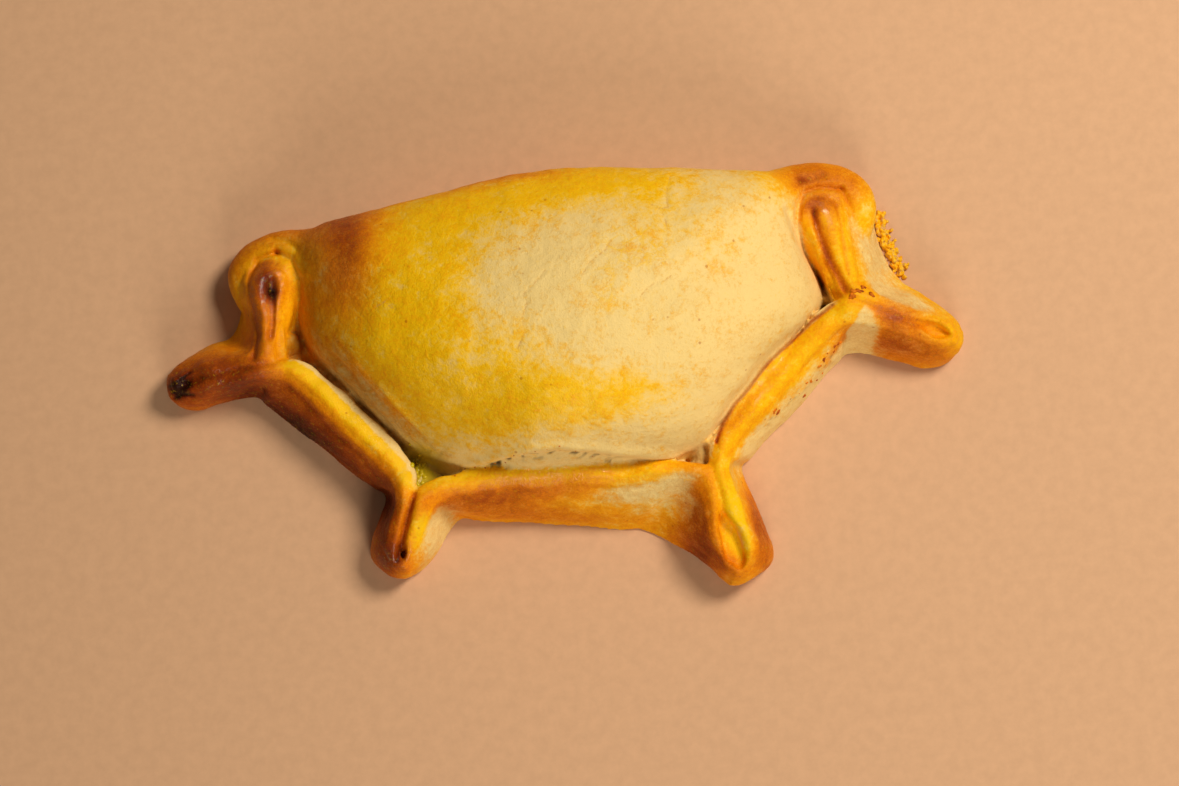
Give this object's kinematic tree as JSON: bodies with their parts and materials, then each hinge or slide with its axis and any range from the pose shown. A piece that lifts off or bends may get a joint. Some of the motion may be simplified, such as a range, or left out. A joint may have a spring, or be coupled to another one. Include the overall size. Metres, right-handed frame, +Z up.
{
  "type": "empanada",
  "caption": "Baked half-moon empanada: a plump filled body with a straight fold and a rim folded up into walls that meet in pinched ears.",
  "frame": {"origin": "centre of the bounding box at the flat underside", "axes": "+X along the straight fold, which is on the +Y side; -Y towards the folded rim; +Z up out of the body"},
  "size_m": [0.158, 0.0858, 0.0338],
  "materials": {
    "crust": "baked dough with an egg-washed sheen"
  },
  "bodies": {
    "root": {"crust": "crust"}
  },
  "joints": []
}
